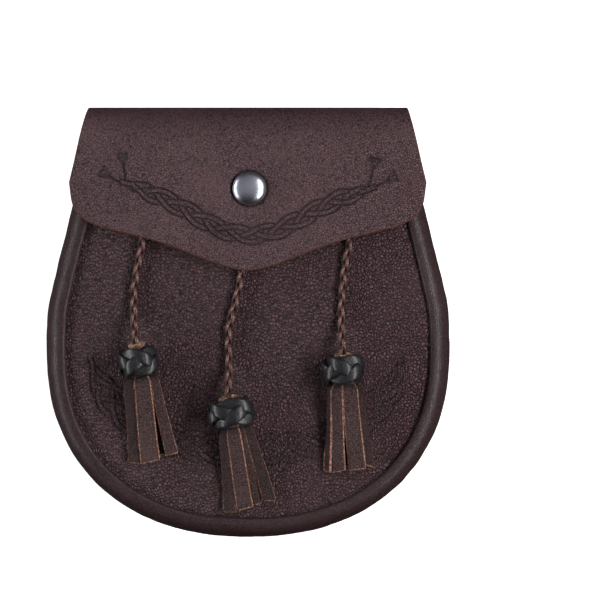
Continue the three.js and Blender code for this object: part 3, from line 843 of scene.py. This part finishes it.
stride = graph.math("SQRT", slope * slope + size["Ring radius"] * size["Ring radius"])
half_width = size["Lace width"] * 0.5 * graph.math("COSINE", wrap)
level = size["Swing"] * graph.math("SINE", swung) + half_width * size["Ring radius"] / stride
turned = travel - half_width * slope / stride / size["Ring radius"]
edgeward = graph.math("SINE", swung)
reach = (
    size["Ring radius"] - size["Barrel"] * edgeward * edgeward
    + size["Weave"] * graph.math("SINE", swung * 2.0)
    + size["Lace thickness"] * 0.5 * graph.math("SINE", wrap)
)
wound = graph.node("GeometryNodeSetPosition", {}, {
    "Geometry": lattice,
    "Position": graph.node("ShaderNodeCombineXYZ", {}, {
        "X": reach * graph.math("COSINE", turned), "Y": level, "Z": reach * graph.math("SINE", turned),
    }).outputs[0],
}).outputs[0]
closed = graph.node("GeometryNodeMergeByDistance", {}, {"Geometry": wound, "Distance": 1e-6}).outputs[0]
smoothed = graph.node("GeometryNodeSetShadeSmooth", {}, {"Geometry": closed}).outputs[0]
knot_tree = end_tree(graph, smoothed, given["Material"])

knot_squash = 0.86
knot_lift = 8.2
tassels = {
    "left": {"at": (-51.7, -18.7), "tilt": 8.3, "radius": 9, "wide": 1.0, "turn": 40, "head": 8.1},
    "centre": {"at": (-7.8, -42.7), "tilt": 10.6, "radius": 9.4, "wide": 1.12, "turn": 75, "head": 6.7},
    "right": {"at": (45.6, -22.3), "tilt": 3.4, "radius": 8.7, "wide": 1.05, "turn": 10, "head": 6.7},
}
for side_name, tassel in tassels.items():
    knot = grown(f"woven_knot_{side_name}", knot_tree, bpy.data.meshes.new("start"), {
        "Ring radius": (tassel["radius"] - 0.2) * mm, "Material": knot_leather,
    })
    around = np.radians(tassel["turn"])
    points = np.empty(len(knot.data.vertices) * 3)
    knot.data.vertices.foreach_get("co", points)
    points = points.reshape(-1, 3)
    x, y, z = points.T
    x, z = x * np.cos(around) + z * np.sin(around), z * np.cos(around) - x * np.sin(around)
    x, z = x * tassel["wide"], z * knot_squash
    tilt = math.radians(tassel["tilt"])
    placed_x = x * math.cos(tilt) - y * math.sin(tilt) + tassel["at"][0] * mm
    placed_y = x * math.sin(tilt) + y * math.cos(tilt) + tassel["at"][1] * mm
    height = (front_face(*tassel["at"]) + knot_lift) * mm
    knot.data.vertices.foreach_set("co", np.stack([placed_x, placed_y, z + height], 1).ravel())
    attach(knot, "root")
    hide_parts(f"knot_{side_name}")

# Tassels: strips cut from thick dark leather, rolled into a head that the knot grips, and left to
# hang. Their cut edges and ends are raw and tan. Each strip has its own width, lie and roll.
strip_thickness = 1.7
# A pair is a value at the strip's root and at its end: how far across it lies, how wide and high it
# is, and its roll in degrees. dark is for a strip in the others' shade.
strip_columns = ("across", "wide", "high", "roll", "long", "dark")
strips = {
    "left": [
        ((-6.0, -9.1), (6.6, 6.4), (8.6, 3.9), (38, 24), 40.2, 0.4),
        ((0.6, -1.2), (7.6, 9.4), (12.2, 6.4), (2, -5), 40.6, 0.0),
        ((6.3, 8.9), (5.0, 6.4), (8.8, 4.6), (-36, -16), 38.6, 0.15),
        ((-2.4, -3.4), (6.5, 8.0), (5.2, 1.9), (0, 3), 38.8, 0.8),
        ((3.2, 4.8), (6.0, 7.0), (4.8, 1.9), (0, -3), 38.2, 0.8),
    ],
    "centre": [
        ((-5.6, -9.3), (5.6, 6.8), (9.2, 4.0), (46, 26), 39.6, 0.35),
        ((-0.5, -1.7), (6.4, 8.0), (12.4, 6.2), (6, 3), 39.2, 0.0),
        ((3.4, 4.4), (3.6, 4.2), (11.4, 4.6), (-26, -20), 38.2, 0.3),
        ((6.6, 10.0), (5.6, 7.0), (8.8, 3.8), (-40, -18), 37.6, 0.45),
        ((-3.0, -5.2), (6.5, 7.6), (5.2, 1.8), (0, 2), 37.6, 0.8),
        ((3.0, 3.6), (6.5, 8.0), (4.8, 1.8), (0, -2), 36.8, 0.8),
    ],
    "right": [
        ((-7.4, -10.6), (4.6, 4.8), (7.6, 3.6), (66, 58), 41.0, 0.3),
        ((-3.9, -5.3), (5.6, 7.2), (11.4, 5.2), (20, 14), 41.2, 0.12),
        ((2.4, 3.4), (7.2, 8.4), (12.2, 6.0), (-6, 4), 40.8, 0.0),
        ((6.9, 9.9), (4.8, 5.2), (8.2, 3.6), (-48, -32), 39.6, 0.45),
        ((-1.2, -1.0), (8.0, 9.0), (5.0, 1.8), (0, 2), 39.0, 0.8),
        ((4.4, 6.0), (5.0, 6.4), (4.6, 1.8), (0, -3), 38.6, 0.8),
    ],
}
strip_leather = leather(
    "strip_leather", colour=(0.105, 0.052, 0.052), dark=(0.01, 0.0026, 0.0026),
    grain=0.0011, depth=0.00036, roughness=0.44, worn=(0.095, 0.048, 0.048), shine=0.3,
)
strip_edge = [(0.5, 0.22), (0.65, 0.55), (0.45, 0.92)]
cut_edge = leather(
    "cut_edge", colour=(0.46, 0.26, 0.185), dark=(0.13, 0.05, 0.027),
    grain=0.0018, depth=0.0002, roughness=0.7,
)
tan_end = leather(
    "tan_end", colour=(0.85, 0.6, 0.42), dark=(0.4, 0.2, 0.11),
    grain=0.0018, depth=0.0002, roughness=0.7,
)
skirt_top = 5.2
knot_half = 6.5
gathered = 0.72
trimmed = 0.8
head_thickness = 1.1
head_edge = [(0.05, 0.1), (0.05, 0.9)]


def between(pair, part):
    """A value that goes from the first of a pair to the second."""
    return pair[0] + (pair[1] - pair[0]) * part


for side_name, tassel in tassels.items():
    tilt = math.radians(tassel["tilt"])
    down = np.array([math.sin(tilt), -math.cos(tilt)])
    over = np.array([math.cos(tilt), math.sin(tilt)])
    parts = []
    for number, row in enumerate(strips[side_name]):
        strip = dict(zip(strip_columns, row))
        t = np.linspace(0, 1, 44)
        settle = smooth_rise(t, 0, 0.9) * 0.55 + (1 - (1 - t) ** 2) * 0.45
        gather = smooth_rise(t, 0.0, 0.12)
        loosened = gathered + (1 - gathered) * gather
        middle = between(strip["across"], t) * loosened
        middle = middle + 0.35 * np.sin(t * 4.1 + number * 1.7) * t
        width = between(strip["wide"], t) * loosened
        high = between(strip["high"], settle)
        high = high + (knot_lift - high) * 0.3 * (1 - gather)
        high = high + 0.3 * np.sin(t * 6.5 + number * 2.3) * t
        roll = np.radians(between(strip["roll"], t))
        distance = skirt_top + (knot_half + 0.3 + strip["long"] - skirt_top) * t
        face = []
        shade = []
        for part in np.linspace(-0.5, 0.5, 9):
            out = middle + (width - trimmed) * part * np.cos(roll)
            lift = high + (width - trimmed) * part * np.sin(roll) - 0.35 * (2 * part) ** 2
            ragged = 0.12 * math.sin(part * 14 + number) + part * 1.1 * math.cos(number * 2.1)
            end = distance + ragged * t**8
            # Painted shade: a strip darkens by its dark value, and every strip darkens fully toward its root
            # under the knot.
            shade.append(strip["dark"] + (1 - strip["dark"]) * (1 - smooth_rise(t, 0.03, 0.15)))
            place = np.array(tassel["at"]) + end[:, None] * down + out[:, None] * over
            ground = front_face(place[:, 0], place[:, 1])
            lift = np.maximum(lift, strip_thickness + 0.35)
            face.append(np.column_stack([place, ground + lift]))
        piece = sheet_object(
            f"strip_{side_name}_{number}", np.stack(face, 1), strip_thickness, strip_edge, np.stack(shade, 1)
        )
        parts.append(piece)
    for piece in parts:
        for material in (strip_leather, cut_edge, flesh_side):
            piece.data.materials.append(material)
    first = parts[0]
    with bpy.context.temp_override(active_object=first, selected_editable_objects=parts):
        bpy.ops.object.join()
    first.name = f"strips_{side_name}"
    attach(first, "root")
    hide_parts(f"tassel_{side_name}")

    # The head: the strips' joined ends, rolled up tight like a scroll.
    roll_turn = np.linspace(0, 4.2 * math.tau, 150)
    ends = np.linspace(-tassel["head"], skirt_top + 1.5, 16)
    fullness = 0.53 + 0.42 * smooth_rise(ends, -7.4, -3.6) - 0.16 * smooth_rise(ends, 2.5, 6.5)
    scroll = []
    for angle in roll_turn:
        spread = (1.1 + (tassel["radius"] - 1.9) * angle / roll_turn[-1]) * fullness
        out = spread * math.cos(angle) * tassel["wide"]
        lift = knot_lift + spread * knot_squash * math.sin(angle)
        slanted = ends + spread * math.sin(angle) * 0.42 * np.linspace(1, 0, len(ends)) ** 2
        place = np.array(tassel["at"]) + slanted[:, None] * down + out[:, None] * over
        scroll.append(np.column_stack([place, front_face(*tassel["at"]) + lift]))
    head = sheet_object(f"rolled_head_{side_name}", np.array(scroll), head_thickness, head_edge)
    dress(head, "strip_leather", strip_leather, tan_end, tan_end)
    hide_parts(f"tassel_{side_name}")

# Belt loops: two straps of the rim's leather, sewn to the back at both ends and bowed in between.
loop_width = 22
loop_thickness = 2
loop_spacing = 64
loop_edge = [(0.3, 0.08), (0.4, 0.5), (0.3, 0.92)]
loop_line = smooth_line(
    [(6, 5.1), (9.5, 5.1), (13, 5.0), (16.5, 2.6), (20, 0.35), (24, 0.2), (40, 0.2), (44, 0.35),
     (47.5, 2.6), (51, 5.0), (54.5, 5.1), (58, 5.1)], 0.8)
for side_name, side in (("left", -1), ("right", 1)):
    out = side * loop_spacing / 2 + np.linspace(-0.5, 0.5, 24) * (loop_width - 0.8)
    face = np.stack([
        np.broadcast_to(out, (len(loop_line), len(out))),
        np.broadcast_to(loop_line[:, :1], (len(loop_line), len(out))),
        np.broadcast_to(loop_line[:, 1:], (len(loop_line), len(out))),
    ], 2)
    loop = sheet_object(f"bowed_loop_{side_name}", face, loop_thickness, loop_edge)
    dress(loop, "rim_leather", rim_leather, raw_edge, flesh_side)
    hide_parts(f"belt_loop_{side_name}")

# Stitches: waxed brown thread that sews the flap's tail and the ends of the belt loops to the back.
# Each stitch is a short bent rod that dips into the leather at both ends.
thread, graph = blank_material("waxed_thread")
place = graph.node("ShaderNodeTexCoord").outputs["Object"]
fibre = graph.node("ShaderNodeTexNoise", {}, {"Vector": place, "Scale": 2600.0}).outputs["Fac"]
shade = graph.mixed(fibre, (0.06, 0.035, 0.026, 1), (0.13, 0.08, 0.06, 1))
bump = graph.node("ShaderNodeBump", {}, {"Distance": 0.00006, "Height": fibre})
shader = graph.node("ShaderNodeBsdfPrincipled", {}, {
    "Base Color": shade, "Roughness": 0.6, "Normal": bump.outputs["Normal"]})
graph.node("ShaderNodeOutputMaterial", {}, {"Surface": shader.outputs["BSDF"]})

graph, given = geometry_tree("stitching", {
    "Spacing": ("NodeSocketFloat", 0.0032),
    "Stitch length": ("NodeSocketFloat", 0.0025),
    "Thread radius": ("NodeSocketFloat", 0.00034),
    "Dip": ("NodeSocketFloat", 0.0005),
    "Material": ("NodeSocketMaterial", None),
})
spots = graph.node(
    "GeometryNodeCurveToPoints", {"mode": "LENGTH"}, {"Curve": given["Geometry"], "Length": given["Spacing"]}
)
rod_line = graph.node("GeometryNodeCurveQuadraticBezier", {}, {
    "Resolution": 6,
    "Start": graph.node("ShaderNodeCombineXYZ", {}, {
        "X": Number(graph, given["Stitch length"]) * -0.5, "Z": Number(graph, given["Dip"])}).outputs[0],
    "Middle": graph.node("ShaderNodeCombineXYZ", {}, {"Z": -Number(graph, given["Dip"])}).outputs[0],
    "End": graph.node("ShaderNodeCombineXYZ", {}, {
        "X": Number(graph, given["Stitch length"]) * 0.5, "Z": Number(graph, given["Dip"])}).outputs[0],
}).outputs["Curve"]
rod_section = graph.node(
    "GeometryNodeCurvePrimitiveCircle", {}, {"Resolution": 6, "Radius": given["Thread radius"]}
).outputs["Curve"]
rod = graph.node("GeometryNodeCurveToMesh", {}, {
    "Curve": rod_line, "Profile Curve": rod_section, "Fill Caps": True}).outputs[0]
faced = graph.node("FunctionNodeAlignRotationToVector", {"axis": "X"}, {"Vector": spots.outputs["Tangent"]})
sewn = graph.node("GeometryNodeInstanceOnPoints", {}, {
    "Points": spots.outputs["Points"], "Instance": rod, "Rotation": faced.outputs[0]}).outputs[0]
stitch_tree = end_tree(graph, sewn, given["Material"])

seams = {
    "tail_seam_upper": [(-62.5, 79.5, -0.1), (62.5, 79.5, -0.1)],
    "tail_seam_lower": [(-62.5, 76, -0.1), (62.5, 76, -0.1)],
}
for side_name, side in (("left", -1), ("right", 1)):
    near, far = (side * loop_spacing / 2 + part * (loop_width / 2 - 2.2) for part in (-1, 1))
    for place_name, low, high in (("lower", 7.4, 11.6), ("upper", 52.4, 56.6)):
        seams[f"loop_seam_{place_name}_{side_name}"] = [
            (near, low, 5.05), (far, low, 5.05), (far, high, 5.05), (near, high, 5.05), (near, low, 5.05)]
for seam_name, corners in seams.items():
    seam = grown(seam_name, stitch_tree, path_curve(seam_name, np.array(corners) * mm), {"Material": thread})
    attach(seam, "root")

# Studio: a plain white floor and backdrop that throw no light back on the pouch, a soft box low down
# on the left and one higher on the right, which both show in the snap's cap, and a pale glow from
# above, dimmer towards the pouch's foot.
floor_mesh = bpy.data.meshes.new("floor")
turn = np.arange(64) / 64 * math.tau
floor_level = -0.0005
room_radius = 4.2
ring = [(room_radius * math.cos(angle), room_radius * math.sin(angle)) for angle in turn]
walls = [(*spot, level) for level in (floor_level, room_radius) for spot in ring]
floor_mesh.from_pydata(walls[:64], [], [tuple(range(64))])
floor = bpy.data.objects.new("floor", floor_mesh)
backdrop_mesh = bpy.data.meshes.new("backdrop")
backdrop_mesh.from_pydata(walls, [], [(i, 64 + i, 64 + (i + 1) % 64, (i + 1) % 64) for i in range(64)])
backdrop = bpy.data.objects.new("backdrop", backdrop_mesh)
for stage, glow in ((floor, 0.86), (backdrop, 1.0)):
    paper, graph = blank_material(f"{stage.name}_paper")
    lit = graph.node("ShaderNodeBsdfPrincipled", {}, {
        "Base Color": (0.85, 0.85, 0.85, 1), "Roughness": 0.9, "Specular IOR Level": 0.0,
        "Emission Color": (1, 1, 1, 1), "Emission Strength": glow})
    graph.node("ShaderNodeOutputMaterial", {}, {"Surface": lit.outputs[0]})
    stage.data.materials.append(paper)
    bpy.context.collection.objects.link(stage)
    stage.visible_glossy = False
    stage.visible_diffuse = False
backdrop.visible_shadow = False
lights = [
    {"name": "left_box", "at": (-1.35, 0.0, 0.45), "size": (1.7, 0.4), "power": 17},
    {"name": "right_box", "at": (1.0, 0.0, 0.95), "size": (1.7, 0.4), "power": 22},
]
for entry in lights:
    light = bpy.data.lights.new(entry["name"], "AREA")
    light.shape = "RECTANGLE"
    light.size, light.size_y = entry["size"]
    light.energy = entry["power"]
    lamp = bpy.data.objects.new(entry["name"], light)
    lamp.location = entry["at"]
    lamp.rotation_euler = (Vector((0, 0, 0)) - Vector(entry["at"])).to_track_quat("-Z", "Y").to_euler()
    bpy.context.collection.objects.link(lamp)
world = bpy.data.worlds.new("room")
world.use_nodes = True
graph = Graph(world.node_tree)
graph.tree.nodes.clear()
way = graph.node("ShaderNodeSeparateXYZ", {}, {
    "Vector": graph.node("ShaderNodeTexCoord").outputs["Generated"]}).outputs
height = graph.math("MAXIMUM", Number(graph, way["Z"]), 0.0)
front = graph.math("MAXIMUM", 1 + graph.math("MINIMUM", Number(graph, way["Y"]), 0.0) * 1.5, 0.1)
glow = (0.05 + height * height * 0.28) * front
sky = graph.node("ShaderNodeBackground", {}, {"Color": (0.94, 0.96, 1, 1), "Strength": glow})
graph.node("ShaderNodeOutputWorld", {}, {"Surface": sky.outputs[0]})
bpy.context.scene.world = world
bpy.context.scene.view_settings.view_transform = "Standard"
